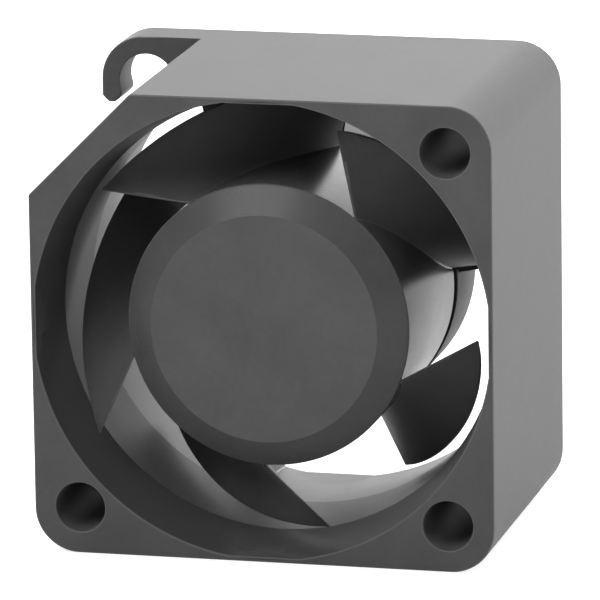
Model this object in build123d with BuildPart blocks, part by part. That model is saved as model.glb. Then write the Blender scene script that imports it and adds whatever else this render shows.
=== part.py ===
from build123d import *
import math
import os

# Axial fan of the 40 mm square frame, without its leads. X runs to the right and Z up as the
# inlet is looked at, Y runs with the air from the inlet face to the outlet face. The origin is
# the middle of the casing, on the rotor's axis. Depths are counted from the inlet face, angles
# from +X towards +Z.

# Casing
casing_side = 40.0
casing_depth = 28.0
corner_radius = 3.8
thin_wall = 0.45
hole_inset = 4.0
hole_diameter = 4.3

# Slanting cut across the lead corner, and the hook that stays behind it
corner_cut = 9.0
hook_thickness = 4.2
hook_bore = 4.9
hook_drop = 5.9
hook_lip = 0.15
hook_tip_bevel = 0.55

# Air duct through the casing
throat_wall = 1.05
mouth_widening = 0.85
mouth_depth = 7.0
outlet_widening = 0.85
outlet_depth = 12.0

# Impeller
tip_gap = 0.85
blade_count = 5
blade_front = 2.8
blade_overrun = 0.2
blade_phase = 70.4
blade_tip_sweep = 63.1
blade_lean_per_mm = 3.241
blade_bow = 0.3
blade_root_thickness = 1.5
blade_tip_thickness = 1.0
blade_edge_thickness = 0.3
blade_root_depth = 2.4
hub_recess = 1.1
hub_wall = 0.9
hub_skin = 1.1
hub_bevel_width = 2.4
hub_bevel_depth = 1.6

# Magnet ring and its steel yoke
yoke_wall = 0.7
yoke_setback = 0.5
magnet_wall = 1.5
magnet_overhang = 2.0
magnet_setback = 0.9

# Shaft and the pieces on it
shaft_diameter = 3.0
shaft_setback = 2.4
shaft_tail = 1.8
boss_diameter = 6.0
boss_length = 2.3
boss_spigot_diameter = 4.2
clip_thickness = 0.4
clip_groove_depth = 0.3
clip_diameter = 4.2
clip_mouth = 1.6
spring_wire = 0.3
spring_length = 1.7
spring_turns = 2

# Ball bearings
bearing_outside = 7.0
bearing_width = 3.0
bearing_land = 0.6
ball_count = 7
ball_diameter = 1.1
ball_clearance = 0.05
cage_thickness = 0.4
cage_width = 1.7
shield_thickness = 0.15
shield_seat = 0.2
shield_gap = 0.08

# Bearing tube
tube_wall = 0.8
tube_shoulder = 0.5
tube_lip = 0.4

# Stator
pole_count = 4
air_gap = 0.35
lamination_count = 12
lamination_thickness = 0.5
lamination_coating = 0.02
core_ring_wall = 1.3
tooth_width = 3.0
pole_shoe_thickness = 0.8
slot_opening = 1.8
insulator_end = 0.8
insulator_wall = 0.4
winding_depth = 1.95
cheek_height = 1.9
cheek_opening = 3.4
winding_thickness = 1.3
winding_bend = 0.9
pin_width = 0.5
pin_wall = 0.5
pin_tail = 0.5
pin_clearance = 0.05

# Circuit board and what it carries
board_thickness = 0.8
board_edge_gap = 0.3
board_to_floor = 4.0
sensor_width = 4.0
sensor_thickness = 1.4
sensor_gap = 0.3
sensor_angle = 90.0
chip_length = 5.0
chip_width = 4.0
chip_height = 1.5
chip_angle = 180.0
chip_leg_count = 4
chip_leg_pitch = 1.27
chip_leg_width = 0.4
chip_leg_reach = 0.8
chip_leg_height = 0.5
capacitor_count = 2
capacitor_length = 2.0
capacitor_width = 1.25
capacitor_height = 1.0
capacitor_angle = 0.0
resistor_count = 3
resistor_length = 1.6
resistor_width = 0.8
resistor_height = 0.5
resistor_angle = 270.0
diode_length = 2.6
diode_width = 1.6
diode_height = 1.1
diode_angle = 315.0
small_part_spacing = 26.0
terminal_length = 0.35
terminal_height = 0.05

# Motor base and the struts that hold it
base_overhang = 0.1
base_wall = 1.0
base_floor = 1.2
base_depth = 7.2
rotor_to_base = 0.8
base_collar_wall = 1.0
base_recess_depth = 0.25
base_recess_border = 1.6
service_hole_diameter = 6.0
strut_count = 3
strut_depth = 6.2
strut_thickness = 1.3
strut_angle = 6.0
strut_sweep = 8.0
lead_strut = 1
lead_strut_thickness = 2.6
lead_strut_sweep = -8.0
lead_channel_width = 1.8
lead_channel_depth = 1.5

# Radii that follow from the sizes above
half_side = casing_side / 2
hole_offset = half_side - hole_inset
throat_radius = half_side - throat_wall
tip_radius = throat_radius - tip_gap
shaft_radius = shaft_diameter / 2
bearing_radius = bearing_outside / 2
tube_radius = bearing_radius + tube_wall
core_ring_radius = tube_radius + core_ring_wall
liner_radius = core_ring_radius + insulator_wall
shoe_inner_radius = liner_radius + winding_depth
core_radius = shoe_inner_radius + pole_shoe_thickness
magnet_bore_radius = core_radius + air_gap
magnet_radius = magnet_bore_radius + magnet_wall
yoke_radius = magnet_radius + yoke_wall
hub_radius = yoke_radius + hub_wall
pin_circle = liner_radius + pin_width
collar_radius = tube_radius + base_collar_wall
base_radius = hub_radius + base_overhang
base_bore_radius = base_radius - base_wall
board_radius = base_bore_radius - board_edge_gap

# Depths behind the inlet face that follow from the sizes above
throat_back = casing_depth - outlet_depth
hook_front = casing_depth - hook_thickness
base_front = casing_depth - base_depth
floor_front = casing_depth - base_floor
hub_inside = hub_recess + hub_skin
hub_back = base_front - rotor_to_base
blade_length = hub_back + blade_overrun - blade_front
yoke_inside = hub_inside + yoke_wall
yoke_back = hub_back - yoke_setback
boss_back = yoke_inside + boss_length
front_bearing_front = boss_back + spring_length
shaft_back = casing_depth - shaft_setback
clip_front = shaft_back - shaft_tail - clip_thickness
rear_bearing_front = clip_front - bearing_width
core_length = lamination_count * lamination_thickness
magnet_length = core_length + 2 * magnet_overhang
magnet_back = yoke_back - magnet_setback
magnet_front = magnet_back - magnet_length
core_front = magnet_front + magnet_overhang
core_back = core_front + core_length
core_middle = (core_front + core_back) / 2
insulator_front = core_front - insulator_end
insulator_back = core_back + insulator_end
board_back = floor_front - board_to_floor
board_front = board_back - board_thickness
strut_front = casing_depth - strut_depth

# Length by which cutting tools run past what they cut
margin = 1.0


def behind_inlet(depth):
    """Sketch plane across the duct at a depth, with x as X and y as Z."""
    return Plane.XZ.offset(casing_depth / 2 - depth)


def at(radius, depth):
    """Point of a profile that is turned about the rotor's axis."""
    return (radius, depth - casing_depth / 2)


def polar(radius, angle):
    """Point across the duct at a radius and an angle."""
    return Vector(radius * math.cos(math.radians(angle)), radius * math.sin(math.radians(angle)))


def save(part, label):
    """Names a finished piece and writes it."""
    part.label = label
    export_step(part, "parts/" + label + ".step")


os.makedirs("parts", exist_ok=True)

# Duct cutter: a tapering mouth, a plain throat and a tapering outlet, held inside the side walls
duct_width = casing_side - 2 * thin_wall
mouth_radius = throat_radius + mouth_widening
outlet_radius = throat_radius + outlet_widening
with BuildPart() as duct:
    with BuildSketch(Plane.XY):
        with BuildLine():
            Polyline(
                at(mouth_radius, 0),
                at(mouth_radius, -margin),
                at(0, -margin),
                at(0, casing_depth + margin),
                at(outlet_radius, casing_depth + margin),
                at(outlet_radius, casing_depth),
                at(throat_radius, throat_back),
                at(throat_radius, mouth_depth),
                close=True,
            )
        make_face()
    revolve(axis=Axis.Y)
    Box(duct_width, casing_depth + 4 * margin, duct_width, mode=Mode.INTERSECT)

# Motor base: a shallow round cup, open towards the rotor, with a collar for the bearing tube
with BuildPart() as motor_base:
    with BuildSketch(Plane.XY):
        with BuildLine():
            Polyline(
                at(service_hole_diameter / 2, casing_depth),
                at(base_radius, casing_depth),
                at(base_radius, base_front),
                at(base_bore_radius, base_front),
                at(base_bore_radius, floor_front),
                at(collar_radius, floor_front),
                at(collar_radius, board_back),
                at(tube_radius, board_back),
                at(tube_radius, floor_front),
                at(service_hole_diameter / 2, floor_front),
                close=True,
            )
        make_face()
    revolve(axis=Axis.Y)
    with BuildSketch(behind_inlet(casing_depth)):
        Circle(base_radius - base_recess_border)
    extrude(amount=base_recess_depth, mode=Mode.SUBTRACT)

# Outlines across the duct: the square frame, and the corner that the slanting cut takes off
with BuildSketch() as square:
    RectangleRounded(casing_side, casing_side, corner_radius)
with BuildSketch() as lead_corner:
    with BuildLine():
        Polyline(
            (-half_side - margin, half_side - corner_cut - margin),
            (-half_side - margin, half_side + margin),
            (-half_side + corner_cut + margin, half_side + margin),
            close=True,
        )
    make_face()
with BuildSketch() as outline:
    add(square.sketch)
    add(lead_corner.sketch, mode=Mode.SUBTRACT)

# Curved struts from the motor base into the duct wall; the one at the lead corner is wider
strut_root = base_radius - base_wall / 2
strut_end = half_side + thin_wall
strut_turn = 360 / strut_count
lead_angle = strut_angle + lead_strut * strut_turn


def strut_path(number):
    """Curve of one strut, which leaves the motor base straight and bends to one side."""
    angle = strut_angle + number * strut_turn
    sweep = lead_strut_sweep if number == lead_strut else strut_sweep
    start = polar(strut_root, angle)
    return TangentArc(start, polar(strut_end, angle + sweep), tangent=polar(1, angle))


with BuildPart() as struts:
    with BuildSketch(behind_inlet(strut_front)):
        for number in range(strut_count):
            with BuildLine():
                strut_path(number)
            trace(line_width=lead_strut_thickness if number == lead_strut else strut_thickness)
        add(outline.sketch, mode=Mode.INTERSECT)
    extrude(amount=-strut_depth)

# Channel for the leads, from inside the motor base along the wide strut to the hook
hook_centre = Vector(-hole_offset, hole_offset)
with BuildPart() as lead_channel:
    with BuildSketch(behind_inlet(casing_depth - lead_channel_depth)):
        with BuildLine():
            Line(polar(base_bore_radius - lead_channel_width, lead_angle), polar(strut_root, lead_angle))
            channel_bend = strut_path(lead_strut)
            Line(channel_bend @ 1, hook_centre)
        trace(line_width=lead_channel_width)
    extrude(amount=-lead_channel_depth - margin)

with BuildPart() as casing:
    with BuildSketch(behind_inlet(0)):
        add(outline.sketch)
    extrude(amount=-casing_depth)
    # Hook: what is left of the square corner behind the slanting cut
    with BuildSketch(behind_inlet(hook_front)):
        add(square.sketch)
        add(lead_corner.sketch, mode=Mode.INTERSECT)
        with Locations(hook_centre):
            Circle(hook_bore / 2, mode=Mode.SUBTRACT)
            slot_width = hook_bore - 2 * hook_lip
            Rectangle(slot_width, half_side, align=(Align.CENTER, Align.MAX), mode=Mode.SUBTRACT)
        with Locations((-half_side - margin, half_side - hook_drop)):
            Rectangle(corner_cut, corner_cut, align=(Align.MIN, Align.MAX), mode=Mode.SUBTRACT)
        chamfer(vertices().group_by(Axis.Y)[0], hook_tip_bevel)
    extrude(amount=-hook_thickness)
    add(duct.part, mode=Mode.SUBTRACT)
    add(motor_base.part)
    add(struts.part)
    add(lead_channel.part, mode=Mode.SUBTRACT)
    with BuildSketch(behind_inlet(0)):
        for angle in (225, 315, 45):
            with Locations(polar(hole_offset * math.sqrt(2), angle)):
                Circle(hole_diameter / 2)
    extrude(amount=-casing_depth, mode=Mode.SUBTRACT)
save(casing.part, "casing")

# Impeller hub: a cup that is closed at the inlet, with a bevelled rim
bevel_slope = hub_bevel_depth / hub_bevel_width
hub_flat_radius = hub_radius - hub_bevel_width
hub_inner_flat = hub_flat_radius - hub_skin / 2
hub_inner_corner = hub_inside + bevel_slope * (yoke_radius - hub_inner_flat)
with BuildPart() as hub:
    with BuildSketch(Plane.XY):
        with BuildLine():
            Polyline(
                at(0, hub_recess),
                at(hub_flat_radius, hub_recess),
                at(hub_radius, hub_recess + hub_bevel_depth),
                at(hub_radius, hub_back),
                at(yoke_radius, hub_back),
                at(yoke_radius, hub_inner_corner),
                at(hub_inner_flat, hub_inside),
                at(0, hub_inside),
                close=True,
            )
        make_face()
    revolve(axis=Axis.Y)

# One blade: a ruled loft between two sections, on planes square to its middle radius
blade_steps = 6
blade_probe = 0.01
blade_middle = blade_phase - blade_tip_sweep / 2
middle_out = polar(1, blade_middle)
middle_across = polar(1, blade_middle + 90)
blade_lean = blade_lean_per_mm * (tip_radius - hub_radius)
blade_root_sweep = blade_tip_sweep - blade_lean
inner_reach = hub_radius - blade_root_depth
outer_reach = tip_radius + margin


def blade_line(share):
    """Root and tip of the blade's middle surface, at a share of its length from the front."""
    swept = share + blade_bow * share * (1 - share)
    tip_angle = blade_tip_sweep / 2 - blade_tip_sweep * swept
    root_angle = blade_tip_sweep / 2 - blade_lean - blade_root_sweep * swept
    return polar(hub_radius, root_angle), polar(tip_radius, tip_angle)


def blade_point(share, reach):
    """Where the line from root to tip at a share of the length crosses a section plane."""
    root, tip = blade_line(share)
    crossing = root + (tip - root) * ((reach - root.X) / (tip.X - root.X))
    return Vector(crossing.Y, casing_depth / 2 - blade_front - blade_length * share)


def blade_side(reach, thickness, side):
    """Points of one face of the blade's section, full in the middle and thin at both ends."""
    points = []
    for step in range(blade_steps + 1):
        share = step / blade_steps
        along = blade_point(share + blade_probe, reach) - blade_point(share - blade_probe, reach)
        normal = Vector(-along.Y, along.X).normalized()
        fullness = math.sqrt(math.sin(math.pi * share)) if 0 < step < blade_steps else 0
        half = (blade_edge_thickness + (thickness - blade_edge_thickness) * fullness) / 2
        points.append(blade_point(share, reach) + normal * half * side)
    return points


with BuildPart() as blade:
    for reach, thickness in ((inner_reach, blade_root_thickness), (outer_reach, blade_tip_thickness)):
        section_plane = Plane(
            origin=(reach * middle_out.X, 0, reach * middle_out.Y),
            x_dir=(middle_across.X, 0, middle_across.Y),
            z_dir=(middle_out.X, 0, middle_out.Y),
        )
        with BuildSketch(section_plane):
            with BuildLine():
                pressure_side = Spline(blade_side(reach, thickness, 1))
                suction_side = Spline(blade_side(reach, thickness, -1))
                Line(pressure_side @ 0, suction_side @ 0)
                Line(pressure_side @ 1, suction_side @ 1)
            make_face()
    loft(ruled=True)
    with BuildSketch(behind_inlet(0)):
        Circle(tip_radius)
        Circle(hub_radius - hub_wall / 2, mode=Mode.SUBTRACT)
    extrude(amount=-casing_depth, mode=Mode.INTERSECT)

with BuildPart() as impeller:
    add(hub.part)
    for number in range(blade_count):
        add(blade.part, rotation=(0, number * 360 / blade_count, 0))
save(impeller.part, "impeller")

# Steel yoke pressed into the hub, the magnet ring inside it and the boss that carries the shaft
spigot_radius = boss_spigot_diameter / 2
yoke_inner_flat = hub_inner_flat - yoke_wall / 2
yoke_inner_corner = yoke_inside + bevel_slope * (magnet_radius - yoke_inner_flat)
with BuildPart() as rotor_yoke:
    with BuildSketch(Plane.XY):
        with BuildLine():
            Polyline(
                at(spigot_radius, hub_inside),
                at(hub_inner_flat, hub_inside),
                at(yoke_radius, hub_inner_corner),
                at(yoke_radius, yoke_back),
                at(magnet_radius, yoke_back),
                at(magnet_radius, yoke_inner_corner),
                at(yoke_inner_flat, yoke_inside),
                at(spigot_radius, yoke_inside),
                close=True,
            )
        make_face()
    revolve(axis=Axis.Y)
save(rotor_yoke.part, "rotor_yoke")

with BuildPart() as ring_magnet:
    with BuildSketch(behind_inlet(magnet_front)):
        Circle(magnet_radius)
        Circle(magnet_bore_radius, mode=Mode.SUBTRACT)
    extrude(amount=-magnet_length)
save(ring_magnet.part, "ring_magnet")

with BuildPart() as shaft_boss:
    with BuildSketch(behind_inlet(hub_inside)):
        Circle(spigot_radius)
    extrude(amount=-yoke_wall)
    with BuildSketch(behind_inlet(yoke_inside)):
        Circle(boss_diameter / 2)
    extrude(amount=-boss_length)
    with BuildSketch(behind_inlet(hub_inside)):
        Circle(shaft_radius)
    extrude(amount=hub_inside - boss_back, mode=Mode.SUBTRACT)
save(shaft_boss.part, "shaft_boss")

# Shaft with the groove of its retaining clip
clip_seat_radius = shaft_radius - clip_groove_depth
with BuildPart() as shaft:
    with BuildSketch(behind_inlet(hub_inside)):
        Circle(shaft_radius)
    extrude(amount=hub_inside - shaft_back)
    chamfer(edges().group_by(Axis.Y)[-1], clip_groove_depth)
    with BuildSketch(behind_inlet(clip_front)):
        Circle(shaft_radius)
        Circle(clip_seat_radius, mode=Mode.SUBTRACT)
    extrude(amount=-clip_thickness, mode=Mode.SUBTRACT)
save(shaft.part, "shaft")

with BuildPart() as retaining_clip:
    with BuildSketch(behind_inlet(clip_front)):
        Circle(clip_diameter / 2)
        Circle(clip_seat_radius, mode=Mode.SUBTRACT)
        Rectangle(clip_mouth, clip_diameter, align=(Align.CENTER, Align.MAX), mode=Mode.SUBTRACT)
    extrude(amount=-clip_thickness)
save(retaining_clip.part, "retaining_clip")

# Coil spring between the boss and the front bearing's inner ring
spring_rise = spring_length - spring_wire
spring_start = boss_back + spring_wire / 2 - casing_depth / 2
with BuildPart() as preload_spring:
    with BuildLine():
        coil = Helix(
            pitch=spring_rise / spring_turns,
            height=spring_rise,
            radius=shaft_radius + spring_wire,
            center=(0, spring_start, 0),
            direction=(0, 1, 0),
        )
    with BuildSketch(Plane(origin=coil @ 0, z_dir=coil % 0)):
        Circle(spring_wire / 2)
    sweep(path=coil, is_frenet=True)
save(preload_spring.part, "preload_spring")

# Ball bearings, each of an inner and an outer ring, balls in a cage, and two shields
pitch_radius = (shaft_radius + bearing_radius) / 2
inner_land = shaft_radius + bearing_land
outer_land = bearing_radius - bearing_land
groove_radius = ball_diameter / 2 + ball_clearance


def bearing_ring(label, bore, outside, front, seat):
    """Makes a ring with its ball groove, and with shield seats in its bore if seat isn't 0."""
    with BuildPart() as ring:
        with BuildSketch(Plane.XY):
            with Locations(at(bore, front)):
                Rectangle(outside - bore, bearing_width, align=Align.MIN)
            with Locations(at(pitch_radius, front + bearing_width / 2)):
                Circle(groove_radius, mode=Mode.SUBTRACT)
            if seat:
                with Locations(at(bore, front), at(bore, front + bearing_width - shield_thickness)):
                    Rectangle(seat, shield_thickness, align=Align.MIN, mode=Mode.SUBTRACT)
        revolve(axis=Axis.Y)
    save(ring.part, label)


def ball_bearing(place, front):
    """Makes the five pieces of one bearing."""
    bearing_ring(place + "_bearing_inner_ring", shaft_radius, inner_land, front, 0)
    bearing_ring(place + "_bearing_outer_ring", outer_land, bearing_radius, front, shield_seat)
    middle = behind_inlet(front + bearing_width / 2)
    with BuildPart(middle) as balls:
        with PolarLocations(pitch_radius, ball_count):
            Sphere(ball_diameter / 2)
    save(balls.part, place + "_bearing_balls")
    with BuildPart(middle) as cage:
        with BuildSketch(middle):
            Circle(pitch_radius + cage_thickness / 2)
            Circle(pitch_radius - cage_thickness / 2, mode=Mode.SUBTRACT)
        extrude(amount=cage_width / 2, both=True)
        with PolarLocations(pitch_radius, ball_count):
            Cylinder(groove_radius, 2 * cage_thickness, rotation=(0, 90, 0), mode=Mode.SUBTRACT)
    save(cage.part, place + "_bearing_cage")
    with BuildPart() as shields:
        for shield_front in (front, front + bearing_width - shield_thickness):
            with BuildSketch(behind_inlet(shield_front)):
                Circle(outer_land + shield_seat)
                Circle(inner_land + shield_gap, mode=Mode.SUBTRACT)
            extrude(amount=-shield_thickness)
    save(shields.part, place + "_bearing_shields")


ball_bearing("front", front_bearing_front)
ball_bearing("rear", rear_bearing_front)

# Bearing tube standing on the motor base's floor, with a shoulder between the bearings
tube_front = front_bearing_front - tube_lip
with BuildPart() as bearing_tube:
    with BuildSketch(behind_inlet(tube_front)):
        Circle(tube_radius)
        Circle(bearing_radius - tube_shoulder, mode=Mode.SUBTRACT)
    extrude(amount=tube_front - floor_front)
    with BuildSketch(behind_inlet(tube_front)):
        Circle(bearing_radius)
    extrude(amount=-tube_lip - bearing_width, mode=Mode.SUBTRACT)
    with BuildSketch(behind_inlet(rear_bearing_front)):
        Circle(bearing_radius)
    extrude(amount=rear_bearing_front - floor_front, mode=Mode.SUBTRACT)
save(bearing_tube.part, "bearing_tube")

# Stator core: thin coated steel plates, each a ring with one tooth and pole shoe per pole
pole_turn = 360 / pole_count
beam = (Align.MIN, Align.CENTER)
with BuildSketch() as lamination:
    Circle(core_radius)
    Circle(shoe_inner_radius, mode=Mode.SUBTRACT)
    with PolarLocations(0, pole_count, start_angle=pole_turn / 2):
        Rectangle(core_radius + margin, slot_opening, align=beam, mode=Mode.SUBTRACT)
    Circle(core_ring_radius)
    with PolarLocations(0, pole_count):
        Rectangle(core_radius - pole_shoe_thickness / 2, tooth_width, align=beam)
    Circle(tube_radius, mode=Mode.SUBTRACT)
with BuildPart() as stator_laminations:
    for number in range(lamination_count):
        with BuildSketch(behind_inlet(core_front + number * lamination_thickness)):
            add(lamination.sketch)
        extrude(amount=lamination_coating - lamination_thickness)
save(stator_laminations.part, "stator_laminations")

# Insulators: two moulded halves that cover the core's ends, line its teeth and hold the windings
lined_tooth = tooth_width + 2 * insulator_wall
with BuildSketch() as pin_shapes:
    with PolarLocations(pin_circle, pole_count, start_angle=pole_turn / 2):
        Rectangle(pin_width, pin_width)
with BuildPart() as front_insulator:
    with BuildSketch(behind_inlet(insulator_front)):
        Circle(liner_radius)
        with PolarLocations(0, pole_count):
            Rectangle(shoe_inner_radius, lined_tooth, align=beam)
        Circle(tube_radius, mode=Mode.SUBTRACT)
    extrude(amount=-insulator_end)
    with BuildSketch(behind_inlet(core_front)):
        with PolarLocations(0, pole_count):
            Rectangle(shoe_inner_radius, lined_tooth, align=beam)
        add(lamination.sketch, mode=Mode.SUBTRACT)
        Circle(core_ring_radius, mode=Mode.SUBTRACT)
    extrude(amount=core_front - core_middle)
    with BuildSketch(behind_inlet(insulator_front - cheek_height)):
        Circle(core_radius)
        Circle(shoe_inner_radius, mode=Mode.SUBTRACT)
        with PolarLocations(0, pole_count, start_angle=pole_turn / 2):
            Rectangle(core_radius + margin, cheek_opening, align=beam, mode=Mode.SUBTRACT)
    extrude(amount=-cheek_height - insulator_end)
    with BuildSketch(behind_inlet(insulator_front - cheek_height)):
        Circle(liner_radius)
        Circle(core_ring_radius, mode=Mode.SUBTRACT)
    extrude(amount=-cheek_height)
save(front_insulator.part, "front_insulator")

with BuildPart() as rear_insulator:
    mirror(front_insulator.part, about=behind_inlet(core_middle))
    with BuildSketch(behind_inlet(core_back)):
        with PolarLocations(pin_circle, pole_count, start_angle=pole_turn / 2):
            Circle(pin_width / 2 + pin_wall)
        Circle(core_ring_radius, mode=Mode.SUBTRACT)
    extrude(amount=-insulator_end)
    with BuildSketch(behind_inlet(insulator_back)):
        Circle(collar_radius)
        Circle(tube_radius, mode=Mode.SUBTRACT)
    extrude(amount=insulator_back - board_front)
    with BuildSketch(behind_inlet(core_back)):
        add(pin_shapes.sketch)
    extrude(amount=core_back - board_front, mode=Mode.SUBTRACT)
save(rear_insulator.part, "rear_insulator")

with BuildPart() as winding_pins:
    with BuildSketch(behind_inlet(core_back)):
        add(pin_shapes.sketch)
    extrude(amount=core_back - board_back - pin_tail)
save(winding_pins.part, "winding_pins")

# Windings: one coil round each lined tooth, between the core's ring and its pole shoes
window_length = insulator_back - insulator_front
with BuildPart() as winding:
    with BuildSketch(Plane.YZ):
        with Locations((core_middle - casing_depth / 2, 0)):
            coil_length = window_length + 2 * winding_thickness
            coil_width = lined_tooth + 2 * winding_thickness
            RectangleRounded(coil_length, coil_width, winding_bend)
            Rectangle(window_length, lined_tooth, mode=Mode.SUBTRACT)
    extrude(amount=core_radius)
    with BuildSketch(behind_inlet(0)):
        Circle(shoe_inner_radius)
        Circle(liner_radius, mode=Mode.SUBTRACT)
    extrude(amount=-casing_depth, mode=Mode.INTERSECT)
for number, side in enumerate(("right", "bottom", "left", "top")):
    with BuildPart() as turned_winding:
        add(winding.part, rotation=(0, number * pole_turn, 0))
    save(turned_winding.part, "coil_" + side)

# Circuit board on the motor base's collar
with BuildPart() as circuit_board:
    with BuildSketch(behind_inlet(board_front)):
        Circle(board_radius)
        Circle(tube_radius, mode=Mode.SUBTRACT)
        with PolarLocations(pin_circle, pole_count, start_angle=pole_turn / 2):
            Circle(pin_width / math.sqrt(2) + pin_clearance, mode=Mode.SUBTRACT)
    extrude(amount=-board_thickness)
save(circuit_board.part, "circuit_board")

# Sensor on the board, close behind the magnet ring
with BuildPart() as hall_sensor:
    with BuildSketch(behind_inlet(board_front)):
        with PolarLocations((magnet_bore_radius + magnet_radius) / 2, 1, start_angle=sensor_angle):
            Rectangle(sensor_thickness, sensor_width)
    extrude(amount=board_front - yoke_back - sensor_gap)
save(hall_sensor.part, "hall_sensor")

# Driver chip on the board, with a row of legs along each side
board_middle_radius = (collar_radius + board_radius) / 2
with BuildPart() as driver_chip:
    with BuildSketch(behind_inlet(board_front)):
        with PolarLocations(board_middle_radius, 1, start_angle=chip_angle):
            Rectangle(chip_length, chip_width)
    extrude(amount=chip_height)
    with BuildSketch(behind_inlet(board_front)):
        with PolarLocations(board_middle_radius, 1, start_angle=chip_angle):
            with GridLocations(chip_leg_pitch, chip_width + chip_leg_reach, chip_leg_count, 2):
                Rectangle(chip_leg_width, chip_leg_reach)
    extrude(amount=chip_leg_height)
save(driver_chip.part, "driver_chip")


def small_parts(label, count, radius, angle, length, width, height):
    """Makes a group of like parts on the board, each a block with a metal cap at either end."""
    start = angle - small_part_spacing * (count - 1) / 2
    spread = small_part_spacing * count
    with BuildPart() as group:
        with BuildSketch(behind_inlet(board_front)):
            with PolarLocations(radius, count, start_angle=start, angular_range=spread):
                Rectangle(width, length)
        extrude(amount=height - terminal_height)
        with BuildSketch(behind_inlet(board_front)):
            with PolarLocations(radius, count, start_angle=start, angular_range=spread):
                with GridLocations(0, length - terminal_length, 1, 2):
                    Rectangle(width, terminal_length)
        extrude(amount=height)
    save(group.part, label)


diode_radius = board_radius - diode_width
capacitor_sizes = (capacitor_length, capacitor_width, capacitor_height)
resistor_sizes = (resistor_length, resistor_width, resistor_height)
diode_sizes = (diode_length, diode_width, diode_height)
small_parts("chip_capacitors", capacitor_count, board_middle_radius, capacitor_angle, *capacitor_sizes)
small_parts("chip_resistors", resistor_count, board_middle_radius, resistor_angle, *resistor_sizes)
small_parts("reverse_diode", 1, diode_radius, diode_angle, *diode_sizes)
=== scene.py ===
"""Looks of an axial fan with a 40 mm square frame: rounded edges, finishes, studio and camera.

The fan's own directions are kept: X runs to the right and Z up as the inlet is looked at, Y runs
with the air, and the origin is on the rotor's axis at half depth. Lengths are in metres.
"""

from __future__ import annotations

import logging
import math
from collections.abc import Mapping, Sequence
from dataclasses import dataclass, field
from enum import Enum
from functools import cache
from typing import Union

import bmesh
import bpy
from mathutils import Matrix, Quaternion, Vector
from mathutils.geometry import intersect_point_line


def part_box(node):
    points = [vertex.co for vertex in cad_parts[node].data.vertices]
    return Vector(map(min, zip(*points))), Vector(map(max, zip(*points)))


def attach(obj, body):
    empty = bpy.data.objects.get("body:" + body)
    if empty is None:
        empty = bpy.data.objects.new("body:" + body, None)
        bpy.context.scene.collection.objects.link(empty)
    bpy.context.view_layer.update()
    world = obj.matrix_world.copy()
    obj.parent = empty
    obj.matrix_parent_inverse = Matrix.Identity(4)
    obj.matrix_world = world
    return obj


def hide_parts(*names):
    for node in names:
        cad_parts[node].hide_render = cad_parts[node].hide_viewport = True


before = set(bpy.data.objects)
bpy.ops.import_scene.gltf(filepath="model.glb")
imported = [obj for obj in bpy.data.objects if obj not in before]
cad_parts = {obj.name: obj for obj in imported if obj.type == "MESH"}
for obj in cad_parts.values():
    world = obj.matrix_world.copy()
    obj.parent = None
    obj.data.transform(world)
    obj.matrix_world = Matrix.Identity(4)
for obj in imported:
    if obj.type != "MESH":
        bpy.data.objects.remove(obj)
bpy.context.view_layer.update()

MM = 0.001

Colour = tuple[float, float, float]
Setting = Union[str, bool, int, float, Sequence[float]]
Feed = Union["Value", float, int, Sequence[float]]

BLACK = (0.0, 0.0, 0.0)
WHITE = (1.0, 1.0, 1.0)

log = logging.getLogger("fan")


class Body(Enum):
    """The bodies that new pieces ride on."""

    CASING = "casing"
    ROTOR = "rotor"


class Axis(Enum):
    """The directions of the frame, with Y along the air's way."""

    X = 0
    Y = 1
    Z = 2


class Grain(Enum):
    """How a metal surface was worked."""

    TURNED = "turned"
    DRAWN = "drawn"
    STAMPED = "stamped"


# ---------------------------------------------------------------- shader nodes


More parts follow.
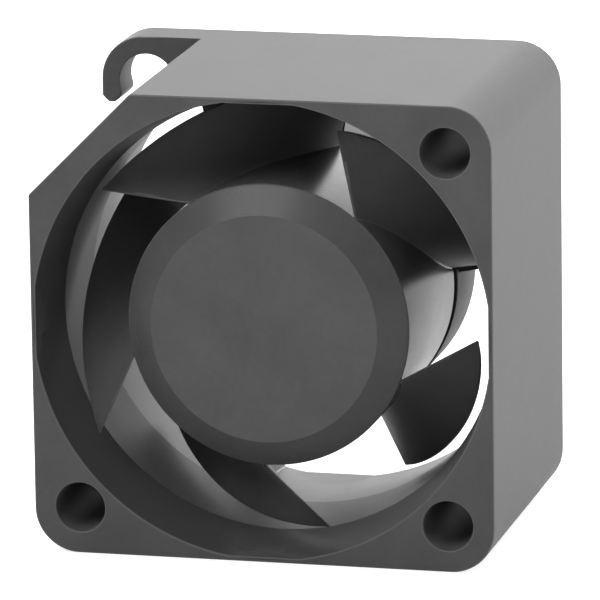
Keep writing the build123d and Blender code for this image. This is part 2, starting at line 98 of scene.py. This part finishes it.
class Value:
    """A node's output that takes part in sums as a number does."""

    def __init__(self, graph: Graph, node: bpy.types.Node, output: int | str = 0) -> None:
        """Wraps an output.

        Args:
            graph: The graph that the node belongs to.
            node: The node.
            output: The place or name of its output.
        """
        self.graph = graph
        self.node = node
        self.output = output

    @property
    def socket(self) -> bpy.types.NodeSocket:
        """The socket that carries the value."""
        return self.node.outputs[self.output]

    def other(self, output: int | str) -> Value:
        """Another output of the same node."""
        return Value(self.graph, self.node, output)

    def _with(self, operation: str, *numbers: Feed) -> Value:
        """Adds one Math node.

        Args:
            operation: The Math node's operation.
            *numbers: What goes into its inputs, in order.

        Returns:
            The node's result.
        """
        feeds = dict(enumerate(numbers))
        return self.graph.add("ShaderNodeMath", {"operation": operation}, feeds)

    def __add__(self, other: Feed) -> Value:
        """Sum."""
        return self._with("ADD", self, other)

    def __radd__(self, other: Feed) -> Value:
        """Sum, reflected."""
        return self._with("ADD", other, self)

    def __sub__(self, other: Feed) -> Value:
        """Difference."""
        return self._with("SUBTRACT", self, other)

    def __rsub__(self, other: Feed) -> Value:
        """Difference, reflected."""
        return self._with("SUBTRACT", other, self)

    def __mul__(self, other: Feed) -> Value:
        """Product."""
        return self._with("MULTIPLY", self, other)

    def __rmul__(self, other: Feed) -> Value:
        """Product, reflected."""
        return self._with("MULTIPLY", other, self)

    def __truediv__(self, other: Feed) -> Value:
        """Quotient."""
        return self._with("DIVIDE", self, other)

    def __rtruediv__(self, other: Feed) -> Value:
        """Quotient, reflected."""
        return self._with("DIVIDE", other, self)

    def __pow__(self, other: Feed) -> Value:
        """Power."""
        return self._with("POWER", self, other)

    def __rpow__(self, other: Feed) -> Value:
        """Power, reflected."""
        return self._with("POWER", other, self)

    def least(self, other: Feed) -> Value:
        """The smaller of two values."""
        return self._with("MINIMUM", self, other)

    def most(self, other: Feed) -> Value:
        """The larger of two values."""
        return self._with("MAXIMUM", self, other)

    def above(self, other: Feed) -> Value:
        """One where this is larger than the other, and zero elsewhere."""
        return self._with("GREATER_THAN", self, other)

    def fraction(self) -> Value:
        """The part behind the point."""
        return self._with("FRACT", self)

    def size(self) -> Value:
        """The value without its sign."""
        return self._with("ABSOLUTE", self)

    def centred(self) -> Value:
        """A value between zero and one, less one half."""
        return self - 0.5


class Graph:
    """A node graph that is filled by one method."""

    # Places of the colour inputs and the colour output of a Mix node.
    MIX_LOW = 6
    MIX_HIGH = 7
    MIX_COLOUR = 2

    def __init__(self, tree: bpy.types.NodeTree) -> None:
        """Empties a node tree.

        Args:
            tree: The tree of a material or of the world.
        """
        self.tree = tree
        tree.nodes.clear()

    def add(
        self,
        kind: str,
        settings: Mapping[str, Setting] | None = None,
        feeds: Mapping[int | str, Feed] | None = None,
        output: int | str = 0,
    ) -> Value:
        """Adds a node.

        Args:
            kind: The node's type name.
            settings: The node's own settings, which are made first.
            feeds: What goes into its inputs, by place or name.
            output: The output that is returned, by place or name.

        Returns:
            The wrapped output.
        """
        node = self.tree.nodes.new(kind)
        for name, setting in (settings or {}).items():
            setattr(node, name, setting)
        for place, feed in (feeds or {}).items():
            socket = node.inputs[place]
            if isinstance(feed, Value):
                self.tree.links.new(feed.socket, socket)
            else:
                socket.default_value = feed
        return Value(self, node, output)

    def place(self) -> Value:
        """The point on the object, in metres."""
        return self.add("ShaderNodeTexCoord", output="Object")

    def along(self, axis: Axis) -> Value:
        """One coordinate of the point on the object."""
        return self.add("ShaderNodeSeparateXYZ", feeds={0: self.place()}, output=axis.value)

    def radius(self, first: Axis = Axis.X, second: Axis = Axis.Z) -> Value:
        """The distance from the rotor's axis, or from another line through the origin.

        Args:
            first: One direction across the line.
            second: The other direction across the line.

        Returns:
            The distance in metres.
        """
        return (self.along(first) ** 2 + self.along(second) ** 2) ** 0.5

    def noise(
        self, patch: float, detail: float = 2.0, stretch: Sequence[float] = (1, 1, 1)
    ) -> Value:
        """Cloudy noise about the middle value one half.

        Args:
            patch: The size of its patches in metres.
            detail: How many finer layers it has.
            stretch: How much longer the patches are along each axis.

        Returns:
            The noise.
        """
        scale = [1 / longer for longer in stretch]
        point = self.add("ShaderNodeMapping", feeds={"Vector": self.place(), "Scale": scale})
        feeds = {"Vector": point, "Scale": 1 / patch, "Detail": detail}
        return self.add("ShaderNodeTexNoise", feeds=feeds)

    def mix(self, share: Feed, low: Feed, high: Feed) -> Value:
        """Blends two colours.

        Args:
            share: Zero for the first colour and one for the second.
            low: The first colour.
            high: The second colour.

        Returns:
            The blended colour.
        """
        feeds = {"Factor": share, self.MIX_LOW: opaque(low), self.MIX_HIGH: opaque(high)}
        return self.add("ShaderNodeMix", {"data_type": "RGBA"}, feeds, output=self.MIX_COLOUR)

    def bump(self, height: Value, depth: float) -> Value:
        """Turns a height into a normal.

        Args:
            height: The height as a share of the depth.
            depth: The depth in metres.

        Returns:
            The normal.
        """
        feeds = {"Height": height, "Distance": depth, "Strength": 1.0}
        return self.add("ShaderNodeBump", feeds=feeds)


def opaque(colour: Feed) -> Feed:
    """A colour with the fourth number that a colour socket has, or the output as it is."""
    return colour if isinstance(colour, Value) else (*colour, 1.0)


def shade(colour: Colour, factor: float) -> Colour:
    """A colour made lighter or darker by a factor."""
    return tuple(min(1.0, part * factor) for part in colour)


# ---------------------------------------------------------------- finishes


@dataclass(frozen=True)
class Finish:
    """A surface finish, from which a material is made."""

    name: str
    colour: Colour
    roughness: float

    @cache
    def material(self) -> bpy.types.Material:
        """Makes the material, once for all the pieces that have the finish.

        Returns:
            The material.
        """
        material = bpy.data.materials.new(self.name)
        material.use_nodes = True
        graph = Graph(material.node_tree)
        surface = graph.add("ShaderNodeBsdfPrincipled", feeds=self.surface(graph))
        graph.add("ShaderNodeOutputMaterial", feeds={"Surface": surface})
        material.diffuse_color = (*self.colour, 1.0)
        return material

    def surface(self, graph: Graph) -> dict[int | str, Feed]:
        """What the finish feeds to the surface shader.

        Args:
            graph: The graph that the nodes go into.

        Returns:
            The shader's inputs by name.
        """
        raise NotImplementedError


@dataclass(frozen=True)
class GlossAndPaintedShadeRing:
    """A ring round the rotor's axis where a smooth tool shaped the plastic, and where shade is
    painted.

    From the inlet up to one depth its colour is darker as painted shade, which stands in for the
    shade inside the duct's mouth and on the sides of the hub's bevel, and from another depth on it
    is glossier. The radii and depths are in metres, and a depth is counted along Y.
    """

    inner: float
    outer: float
    painted_shade_end: float
    gloss_start: float
    painted_shade: float
    gloss: float

    def masks(self, graph: Graph) -> tuple[Value, Value]:
        """Finds where the ring gets painted shade and where it is glossier.

        Args:
            graph: The graph that the nodes go into.

        Returns:
            One on the part with painted shade, and one on the glossier part.
        """
        radius = graph.radius()
        depth = graph.along(Axis.Y)
        ring = (self.outer - radius).above(0.0) * radius.above(self.inner)
        return ring * (self.painted_shade_end - depth).above(0.0), ring * depth.above(self.gloss_start)


@dataclass(frozen=True)
class Moulded(Finish):
    """Matt moulded plastic with spark-eroded grain, faint flow clouds, and rubbed edges whose
    lighter colour is partly wear and partly a painted highlight; an optional ring gets painted
    shade.
    """

    grain: float = 0.16 * MM
    grain_depth: float = 0.006 * MM
    grain_roughness: float = 0.1
    speck_grains: float = 4.0
    speck_contrast: float = 0.5
    speck_height: float = 0.3
    cloud: float = 5.0 * MM
    cloud_contrast: float = 0.16
    cloud_spread: float = 1.6
    cloud_roughness: float = 0.12
    # Rounded edges: glossier from rubbing, and lighter partly as wear and partly as a painted
    # highlight.
    wear_and_highlight_share: float = 0.8
    wear_and_highlight_gain: float = 1.5
    rub_gloss: float = 0.16
    specular: float = 0.25
    ring: GlossAndPaintedShadeRing | None = None

    def surface(self, graph: Graph) -> dict[int | str, Feed]:
        """What moulded plastic feeds to the surface shader.

        Args:
            graph: The graph that the nodes go into.

        Returns:
            The shader's inputs by name.
        """
        clouds = graph.noise(self.cloud, detail=4.0)
        grain = graph.noise(self.grain, detail=3.0)
        specks = graph.noise(self.grain * self.speck_grains, detail=1.0)
        wear_and_highlight_mask = graph.add("ShaderNodeAttribute", {"attribute_name": WEAR_AND_HIGHLIGHT}, output="Fac")
        deep = shade(self.colour, 1 - self.cloud_contrast)
        pale = shade(self.colour, 1 + self.cloud_contrast)
        tone = clouds.centred() * self.cloud_spread + 0.5
        colour = graph.mix(tone + specks.centred() * self.speck_contrast, deep, pale)
        roughness = self.roughness + clouds.centred() * self.cloud_roughness
        roughness = roughness + grain.centred() * self.grain_roughness - wear_and_highlight_mask * self.rub_gloss
        if self.ring:
            painted_shade_mask, glossy = self.ring.masks(graph)
            # Painted shade: the ring's colour is darkened towards black where shade falls in the
            # duct and on the hub's bevel.
            colour = graph.mix(painted_shade_mask * self.ring.painted_shade, colour, BLACK)
            roughness = roughness - glossy * self.ring.gloss
        height = grain * (1 - self.speck_height) + specks * self.speck_height
        # Painted highlight, partly wear: the rounded edges get a lighter colour.
        wear_and_highlight_colour = shade(self.colour, self.wear_and_highlight_gain)
        return {
            "Base Color": graph.mix(wear_and_highlight_mask * self.wear_and_highlight_share, colour, wear_and_highlight_colour),
            "Roughness": roughness,
            "Specular IOR Level": self.specular,
            "Normal": graph.bump(height, self.grain_depth),
        }


@dataclass(frozen=True)
class Worked(Finish):
    """Bare metal with the marks of how it was worked."""

    grain: Grain = Grain.TURNED
    mark: float = 0.05 * MM
    mark_depth: float = 0.001 * MM
    mark_roughness: float = 0.08
    drawn_stretch: float = 30.0
    stamped_marks: float = 3.0
    stain: float = 1.2 * MM
    stain_roughness: float = 0.15
    tarnish: float = 0.12

    def _marks(self, graph: Graph) -> Value:
        """Makes the tool marks.

        Args:
            graph: The graph that the nodes go into.

        Returns:
            Their height, about the middle value one half.
        """
        if self.grain is Grain.TURNED:
            rings = ((graph.radius() + graph.along(Axis.Y)) / self.mark).fraction()
            return rings.centred().size() * 2
        if self.grain is Grain.DRAWN:
            return graph.noise(self.mark, stretch=(1, self.drawn_stretch, 1))
        return graph.noise(self.mark * self.stamped_marks, detail=4.0)

    def surface(self, graph: Graph) -> dict[int | str, Feed]:
        """What worked metal feeds to the surface shader.

        Args:
            graph: The graph that the nodes go into.

        Returns:
            The shader's inputs by name.
        """
        marks = self._marks(graph)
        stains = graph.noise(self.stain, detail=4.0)
        deep = shade(self.colour, 1 - self.tarnish)
        pale = shade(self.colour, 1 + self.tarnish)
        roughness = self.roughness + stains.centred() * self.stain_roughness
        return {
            "Base Color": graph.mix(stains, deep, pale),
            "Metallic": 1.0,
            "Roughness": roughness + marks.centred() * self.mark_roughness,
            "Normal": graph.bump(marks, self.mark_depth),
        }


@dataclass(frozen=True)
class WoundWire(Finish):
    """Enamelled wire wound round a tooth in turns that lie side by side."""

    wire: float = 0.18 * MM
    # Painted shade: how much darker the colour is in the grooves between the turns.
    painted_groove_shade: float = 0.25
    tone: float = 0.6 * MM
    tone_deep: float = 0.8
    tone_pale: float = 1.15
    tone_roughness: float = 0.1
    metallic: float = 0.8
    enamel: float = 0.5

    def surface(self, graph: Graph) -> dict[int | str, Feed]:
        """What wound wire feeds to the surface shader.

        Args:
            graph: The graph that the nodes go into.

        Returns:
            The shader's inputs by name.
        """
        turn = (graph.radius() / self.wire).fraction() * 2 - 1
        rise = (1 - turn * turn) ** 0.5
        tone = graph.noise(self.tone)
        deep = shade(self.colour, self.tone_deep)
        pale = shade(self.colour, self.tone_pale)
        # Painted shade: the darker colour of the grooves between the turns.
        painted_groove_colour = shade(self.colour, self.painted_groove_shade)
        return {
            "Base Color": graph.mix(rise, painted_groove_colour, graph.mix(tone, deep, pale)),
            "Metallic": self.metallic,
            "Roughness": self.roughness + tone.centred() * self.tone_roughness,
            "Coat Weight": self.enamel,
            "Normal": graph.bump(rise, self.wire / 2),
        }


@dataclass(frozen=True)
class SolderMask(Finish):
    """A lacquered board whose base is darker than the copper lines that stand out from it."""

    line: float = 0.9 * MM
    line_start: float = 0.28
    line_gain: float = 1.9
    line_share: float = 0.6
    line_height: float = 0.03 * MM
    weave: float = 0.25 * MM
    weave_deep: float = 0.8
    weave_pale: float = 1.1
    weave_height: float = 0.1
    weave_roughness: float = 0.1
    lacquer: float = 0.4

    def surface(self, graph: Graph) -> dict[int | str, Feed]:
        """What a lacquered board feeds to the surface shader.

        Args:
            graph: The graph that the nodes go into.

        Returns:
            The shader's inputs by name.
        """
        weave = graph.noise(self.weave, detail=3.0)
        across = (graph.along(Axis.X) / self.line).fraction()
        lines = across.centred().size().above(self.line_start)
        deep = shade(self.colour, self.weave_deep)
        pale = shade(self.colour, self.weave_pale)
        base = graph.mix(weave, deep, pale)
        return {
            "Base Color": graph.mix(
                lines * self.line_share, base, shade(self.colour, self.line_gain)
            ),
            "Roughness": self.roughness + weave.centred() * self.weave_roughness,
            "Coat Weight": self.lacquer,
            "Normal": graph.bump(lines + weave * self.weave_height, self.line_height),
        }


@dataclass(frozen=True)
class Fired(Finish):
    """Sintered or pressed powder, such as ceramic or a bonded magnet."""

    speck: float = 0.08 * MM
    speck_depth: float = 0.008 * MM
    speck_contrast: float = 0.25
    speck_roughness: float = 0.15

    def surface(self, graph: Graph) -> dict[int | str, Feed]:
        """What sintered powder feeds to the surface shader.

        Args:
            graph: The graph that the nodes go into.

        Returns:
            The shader's inputs by name.
        """
        specks = graph.noise(self.speck, detail=3.0)
        deep = shade(self.colour, 1 - self.speck_contrast)
        pale = shade(self.colour, 1 + self.speck_contrast)
        return {
            "Base Color": graph.mix(specks, deep, pale),
            "Roughness": self.roughness + specks.centred() * self.speck_roughness,
            "Normal": graph.bump(specks, self.speck_depth),
        }


# ---------------------------------------------------------------- mouldings

# The face attribute that is one on a rounded edge, where the finish is rubbed glossier and its
# colour is lighter, partly as wear and partly as a painted highlight.
WEAR_AND_HIGHLIGHT = "wear_and_highlight"


class Assembly:
    """A sub-assembly of the fan."""

    def build(self) -> list[str]:
        """Makes its pieces or dresses its solids.

        Returns:
            The names of the pieces or solids.
        """
        raise NotImplementedError


def gap(first: bmesh.types.BMEdge, second: bmesh.types.BMEdge) -> float:
    """The distance between two straight edges, measured from their ends.

    Args:
        first: One edge.
        second: The other edge.

    Returns:
        The smallest distance in metres.
    """
    found = []
    for here, there in ((first, second), (second, first)):
        low, high = (vert.co for vert in there.verts)
        for vert in here.verts:
            foot, share = intersect_point_line(vert.co, low, high)
            if share < 0:
                foot = low
            elif share > 1:
                foot = high
            found.append((vert.co - foot).length)
    return min(found)


@dataclass
class Moulding(Assembly):
    """A plastic moulding: its solid with the sharp edges rounded.

    Lengths are in metres and angles in degrees. An edge is rounded where the next sharp edge of
    the same face is at least room times the edge radius away, or meets it at an angle that is not
    under least_corner.
    """

    node: str
    piece: str
    body: Body
    slot: str
    finish: Finish
    edge_radius: float = 0.12 * MM
    edge_segments: int = 2
    sharp_angle: float = 28.0
    merge_distance: float = 0.001 * MM
    flat_angle: float = 0.5
    crease_angle: float = 2.5
    room: float = 2.2
    least_corner: float = 50.0
    shading_weight: int = 100

    def build(self) -> list[str]:
        """Makes the piece from a merged copy of its solid.

        Returns:
            The piece's name.
        """
        shape = bmesh.new()
        shape.from_mesh(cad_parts[self.node].data)
        bmesh.ops.remove_doubles(shape, verts=shape.verts, dist=self.merge_distance)
        bmesh.ops.dissolve_limit(
            shape,
            angle_limit=math.radians(self.flat_angle),
            verts=shape.verts,
            edges=shape.edges,
        )
        self._round(shape)
        self._crease(shape)
        mesh = bpy.data.meshes.new(self.piece)
        shape.to_mesh(mesh)
        shape.free()
        mesh.shade_smooth()
        piece = bpy.data.objects.new(self.piece, mesh)
        bpy.context.scene.collection.objects.link(piece)
        self._dress(piece)
        return [self.piece]

    def _round(self, shape: bmesh.types.BMesh) -> None:
        """Rounds the sharp edges and marks the narrow faces this makes for rubbing and a painted
        highlight.

        Args:
            shape: The merged solid.
        """
        wear_and_highlight = shape.faces.layers.float.new(WEAR_AND_HIGHLIGHT)
        limit = math.radians(self.sharp_angle)
        sharp = {edge for edge in shape.edges if edge.calc_face_angle(0.0) > limit}
        roomy = [edge for edge in shape.edges if edge in sharp and self._has_room(edge, sharp)]
        made = bmesh.ops.bevel(
            shape,
            geom=roomy,
            offset=self.edge_radius,
            offset_type="OFFSET",
            affect="EDGES",
            segments=self.edge_segments,
            profile=0.5,
            material=-1,
            clamp_overlap=False,
        )
        for face in made["faces"]:
            face[wear_and_highlight] = 1.0

    def _has_room(self, edge: bmesh.types.BMEdge, sharp: set[bmesh.types.BMEdge]) -> bool:
        """Tells whether an edge can be rounded without running into its neighbours.

        Args:
            edge: The edge to round.
            sharp: All sharp edges of the solid.

        Returns:
            True where the faces beside the edge are wide enough.
        """
        near = {other for face in edge.link_faces for other in face.edges if other is not edge}
        return all(self._is_clear(edge, other) for other in near & sharp)

    def _is_clear(self, edge: bmesh.types.BMEdge, other: bmesh.types.BMEdge) -> bool:
        """Tells whether two sharp edges of one face leave room for their rounding.

        Args:
            edge: The edge to round.
            other: The edge beside it.

        Returns:
            True where they are far enough from each other, or meet at a wide enough angle.
        """
        shared = set(edge.verts) & set(other.verts)
        if not shared:
            return gap(edge, other) >= self.edge_radius * self.room
        corner = shared.pop()
        first = edge.other_vert(corner).co - corner.co
        second = other.other_vert(corner).co - corner.co
        return first.angle(second) >= math.radians(self.least_corner)

    def _crease(self, shape: bmesh.types.BMesh) -> None:
        """Keeps the lines crisp where a round wall changes its slope along the air's way.

        Args:
            shape: The rounded solid.
        """
        limit = math.radians(self.crease_angle)
        for edge in shape.edges:
            first, second = edge.verts
            level = abs(first.co.y - second.co.y) < self.merge_distance
            edge.smooth = not (level and edge.calc_face_angle(0.0) > limit)

    def _dress(self, piece: bpy.types.Object) -> None:
        """Gives the piece even shading and its finish, and puts it in its solid's place.

        Args:
            piece: The piece.
        """
        even = piece.modifiers.new("even_shading", "WEIGHTED_NORMAL")
        even.mode = "FACE_AREA"
        even.weight = self.shading_weight
        even.keep_sharp = True
        piece.data.materials.append(self.finish.material())
        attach(piece, self.body.value)
        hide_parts(self.node)


@dataclass
class Casing(Moulding):
    """The square frame with the duct, the struts, the motor base and the lead hook."""

    node: str = "casing"
    piece: str = "casing_moulding"
    body: Body = Body.CASING
    slot: str = "housing_plastic"
    finish: Finish = Moulded(
        "housing_plastic",
        (0.082, 0.082, 0.083),
        0.58,
        specular=0.18,
        ring=GlossAndPaintedShadeRing(
            inner=17.5 * MM,
            outer=19.79 * MM,
            painted_shade_end=2.0 * MM,
            gloss_start=-7.0 * MM,
            # Painted shade: darkens the colour of the duct's mouth and throat.
            painted_shade=0.45,
            gloss=0.08,
        ),
    )


@dataclass
class Impeller(Moulding):
    """The hub cup with its five blades, whose bevelled front edge stays as it is."""

    node: str = "impeller"
    piece: str = "impeller_moulding"
    body: Body = Body.ROTOR
    slot: str = "impeller_plastic"
    sharp_angle: float = 36.0
    finish: Finish = Moulded(
        "impeller_plastic",
        (0.082, 0.082, 0.084),
        0.46,
        specular=0.2,
        ring=GlossAndPaintedShadeRing(
            inner=9.82 * MM,
            outer=12.25 * MM,
            painted_shade_end=-11.3 * MM,
            gloss_start=-14.0 * MM,
            # Painted shade: darkens the colour of the hub's bevel.
            painted_shade=0.2,
            gloss=0.16,
        ),
    )


# ---------------------------------------------------------------- motor, bearings and board

GROUND_STEEL = Worked("ground_steel", (0.62, 0.63, 0.65), 0.18)
PRESSED_STEEL = Worked("pressed_steel", (0.5, 0.51, 0.53), 0.32, Grain.STAMPED)
SPRING_STEEL = Worked("spring_steel", (0.42, 0.42, 0.43), 0.3, Grain.DRAWN)
PLATED_STEEL = Worked("plated_steel", (0.5, 0.51, 0.52), 0.3, Grain.DRAWN)
CORE_STEEL = Worked("core_steel", (0.2, 0.21, 0.23), 0.4, Grain.STAMPED)
TURNED_BRASS = Worked("turned_brass", (0.62, 0.45, 0.2), 0.25)
TINNED_METAL = Worked("tinned_metal", (0.6, 0.59, 0.56), 0.3, Grain.DRAWN)
ENAMELLED_COPPER = WoundWire("enamelled_copper", (0.5, 0.17, 0.06), 0.3)
INSULATOR_PLASTIC = Moulded("insulator_plastic", (0.62, 0.6, 0.52), 0.45)
CHIP_PLASTIC = Moulded("chip_plastic", (0.025, 0.025, 0.027), 0.4)
BOARD_LACQUER = SolderMask("board_lacquer", (0.02, 0.14, 0.06), 0.3)
CERAMIC = Fired("ceramic", (0.45, 0.32, 0.2), 0.4)
BONDED_MAGNET = Fired("bonded_magnet", (0.04, 0.04, 0.043), 0.55)


class Dressed(Assembly):
    """A sub-assembly that keeps the shapes of its solids and gets only their finishes."""

    def finishes(self) -> dict[Finish, tuple[str, ...]]:
        """Says which solids each finish goes on.

        Returns:
            The names of the solids by finish.
        """
        raise NotImplementedError

    def build(self) -> list[str]:
        """Gives each solid its finish.

        Returns:
            The names of the solids.
        """
        dressed = []
        for finish, nodes in self.finishes().items():
            for node in nodes:
                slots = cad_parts[node].data.materials
                slots.clear()
                slots.append(finish.material())
                dressed.append(node)
        return dressed


@dataclass
class BallBearing(Dressed):
    """One of the two ball bearings: rings and balls ground, cage and shields pressed."""

    place: str
    ground: tuple[str, ...] = ("inner_ring", "outer_ring", "balls")
    pressed: tuple[str, ...] = ("cage", "shields")

    def finishes(self) -> dict[Finish, tuple[str, ...]]:
        """Says which solids of the bearing each finish goes on.

        Returns:
            The names of the solids by finish.
        """
        return {
            GROUND_STEEL: tuple(f"{self.place}_bearing_{part}" for part in self.ground),
            PRESSED_STEEL: tuple(f"{self.place}_bearing_{part}" for part in self.pressed),
        }


@dataclass
class RotorCore(Dressed):
    """What turns inside the hub: yoke, magnet, boss and shaft, with its spring and clip."""

    def finishes(self) -> dict[Finish, tuple[str, ...]]:
        """Says which solids of the rotor each finish goes on.

        Returns:
            The names of the solids by finish.
        """
        return {
            PLATED_STEEL: ("rotor_yoke",),
            BONDED_MAGNET: ("ring_magnet",),
            TURNED_BRASS: ("shaft_boss",),
            GROUND_STEEL: ("shaft",),
            SPRING_STEEL: ("preload_spring", "retaining_clip"),
        }


@dataclass
class Stator(Dressed):
    """What stands on the motor base: tube, core, insulators, windings and their pins."""

    coils: tuple[str, ...] = ("coil_top", "coil_right", "coil_bottom", "coil_left")

    def finishes(self) -> dict[Finish, tuple[str, ...]]:
        """Says which solids of the stator each finish goes on.

        Returns:
            The names of the solids by finish.
        """
        return {
            TURNED_BRASS: ("bearing_tube",),
            CORE_STEEL: ("stator_laminations",),
            INSULATOR_PLASTIC: ("front_insulator", "rear_insulator"),
            ENAMELLED_COPPER: self.coils,
            TINNED_METAL: ("winding_pins",),
        }


@dataclass
class Board(Dressed):
    """The round circuit board with the sensor, the driver and the small parts on it."""

    cases: tuple[str, ...] = ("hall_sensor", "driver_chip", "chip_resistors", "reverse_diode")

    def finishes(self) -> dict[Finish, tuple[str, ...]]:
        """Says which solids of the board each finish goes on.

        Returns:
            The names of the solids by finish.
        """
        return {
            BOARD_LACQUER: ("circuit_board",),
            CHIP_PLASTIC: self.cases,
            CERAMIC: ("chip_capacitors",),
        }


# ---------------------------------------------------------------- studio and camera


@dataclass
class Softbox:
    """A square lamp that looks at the fan."""

    name: str
    place: Vector
    power: float
    side: float = 0.45

    def build(self) -> None:
        """Makes the lamp."""
        lamp = bpy.data.lights.new(self.name, "AREA")
        lamp.shape = "SQUARE"
        lamp.size = self.side
        lamp.energy = self.power
        holder = bpy.data.objects.new(self.name, lamp)
        holder.location = self.place
        holder.rotation_mode = "QUATERNION"
        holder.rotation_quaternion = (-self.place).to_track_quat("-Z", "Y")
        bpy.context.scene.collection.objects.link(holder)


@dataclass
class Studio:
    """A pale floor that the fan stands on, a pale surrounding and soft lamps.

    The floor looks white by its own light, which is weaker within shadow_reach of the fan, so that
    the shadow stays, and grows to full white over fade_width.
    """

    floor_side: float = 8.0
    floor_gap: float = 0.01 * MM
    floor_colour: Colour = (0.8, 0.8, 0.8)
    floor_roughness: float = 0.9
    floor_lift: Colour = (0.6, 0.6, 0.6)
    mottle: float = 0.05
    mottle_contrast: float = 0.02
    shadow_reach: float = 0.12
    fade_width: float = 0.25
    room_level: float = 0.02
    lamps: tuple[Softbox, ...] = (
        Softbox("front_softbox", Vector((-0.2, -0.4, 0.55)), 3.3),
        Softbox("eye_softbox", Vector((0.17, -0.75, 0.3)), 0.55),
        Softbox("rear_softbox", Vector((0.0, 0.7, 0.2)), 2.0),
        Softbox("top_softbox", Vector((0.0, 0.45, 0.6)), 1.8),
        Softbox("left_rear_softbox", Vector((-0.5, 0.5, 0.3)), 5.0),
        Softbox("right_softbox", Vector((0.62, 0.28, 0.25)), 5.8),
    )

    def build(self) -> None:
        """Makes the floor, the surrounding and the lamps."""
        self._build_floor()
        self._build_room()
        for lamp in self.lamps:
            lamp.build()

    @staticmethod
    def _seen(graph: Graph) -> Value:
        """Tells what is looked at, directly, in a gloss or through glass, from what only lights.

        Args:
            graph: The graph that the nodes go into.

        Returns:
            One for what is looked at, and zero for light.
        """
        path = graph.add("ShaderNodeLightPath", output="Is Camera Ray")
        return path.most(path.other("Is Glossy Ray")).most(path.other("Is Transmission Ray"))

    def _build_floor(self) -> None:
        """Makes the floor under the casing."""
        low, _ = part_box("casing")
        shape = bmesh.new()
        bmesh.ops.create_grid(shape, x_segments=1, y_segments=1, size=self.floor_side / 2)
        bmesh.ops.translate(shape, verts=shape.verts, vec=(0, 0, low.z - self.floor_gap))
        mesh = bpy.data.meshes.new("floor")
        shape.to_mesh(mesh)
        shape.free()
        mesh.materials.append(self._floor_material())
        floor = bpy.data.objects.new("floor", mesh)
        bpy.context.scene.collection.objects.link(floor)

    def _floor_material(self) -> bpy.types.Material:
        """Makes the floor's material, which looks white and keeps the fan's shadow.

        Returns:
            The material.
        """
        material = bpy.data.materials.new("studio_floor")
        material.use_nodes = True
        graph = Graph(material.node_tree)
        deep = shade(self.floor_colour, 1 - self.mottle_contrast)
        colour = graph.mix(graph.noise(self.mottle), deep, self.floor_colour)
        reach = graph.radius(Axis.X, Axis.Y) - self.shadow_reach
        far = (reach / self.fade_width).most(0.0).least(1.0)
        lift = graph.mix(far, self.floor_lift, WHITE)
        feeds = {"Base Color": colour, "Roughness": self.floor_roughness}
        matt = graph.add("ShaderNodeBsdfPrincipled", feeds=feeds)
        feeds = {**feeds, "Emission Color": lift, "Emission Strength": 1.0}
        lifted = graph.add("ShaderNodeBsdfPrincipled", feeds=feeds)
        feeds = {0: self._seen(graph), 1: matt, 2: lifted}
        surface = graph.add("ShaderNodeMixShader", feeds=feeds)
        graph.add("ShaderNodeOutputMaterial", feeds={"Surface": surface})
        return material

    def _build_room(self) -> None:
        """Makes the surrounding, which looks white and gives an even light."""
        world = bpy.data.worlds.new("room")
        bpy.context.scene.world = world
        world.use_nodes = True
        graph = Graph(world.node_tree)
        level = self._seen(graph) * (1 - self.room_level) + self.room_level
        feeds = {"Color": opaque(WHITE), "Strength": level}
        light = graph.add("ShaderNodeBackground", feeds=feeds)
        graph.add("ShaderNodeOutputWorld", feeds={"Surface": light})


@dataclass
class Viewpoint:
    """The camera, at the photograph's viewing angle. Angles are in degrees."""

    azimuth: float = 14.094
    elevation: float = 13.550
    roll: float = -0.818
    distance: float = 609.8 * MM
    aim: Vector = field(default_factory=lambda: Vector((0.0, -0.12 * MM, -0.48 * MM)))
    lens: float = 426.8
    sensor: float = 36.0
    clip_factor: float = 20.0

    def _back(self) -> Vector:
        """Finds the direction from the fan to the camera.

        Returns:
            A vector of length one.
        """
        across, up = math.radians(self.azimuth), math.radians(self.elevation)
        level = math.cos(up)
        return Vector((math.sin(across) * level, -math.cos(across) * level, math.sin(up)))

    def build(self) -> None:
        """Makes the camera."""
        back = self._back()
        camera = bpy.data.cameras.new("camera")
        camera.lens = self.lens
        camera.sensor_width = self.sensor
        camera.clip_start = self.distance / self.clip_factor
        camera.clip_end = self.distance * self.clip_factor
        holder = bpy.data.objects.new("camera", camera)
        holder.location = self.aim + back * self.distance
        holder.rotation_mode = "QUATERNION"
        turn = Quaternion((0, 0, 1), math.radians(self.roll))
        holder.rotation_quaternion = (-back).to_track_quat("-Z", "Y") @ turn
        bpy.context.scene.collection.objects.link(holder)
        bpy.context.scene.camera = holder


def main() -> None:
    """Builds the fan's sub-assemblies, the studio and the camera."""
    logging.basicConfig(level=logging.INFO)
    bpy.context.scene.view_settings.view_transform = "Standard"
    assemblies = (
        Casing(),
        Impeller(),
        BallBearing("front"),
        BallBearing("rear"),
        RotorCore(),
        Stator(),
        Board(),
    )
    for assembly in assemblies:
        for piece in assembly.build():
            log.info("%s: %s", type(assembly).__name__, piece)
    Studio().build()
    Viewpoint().build()


if __name__ == "__main__":
    main()
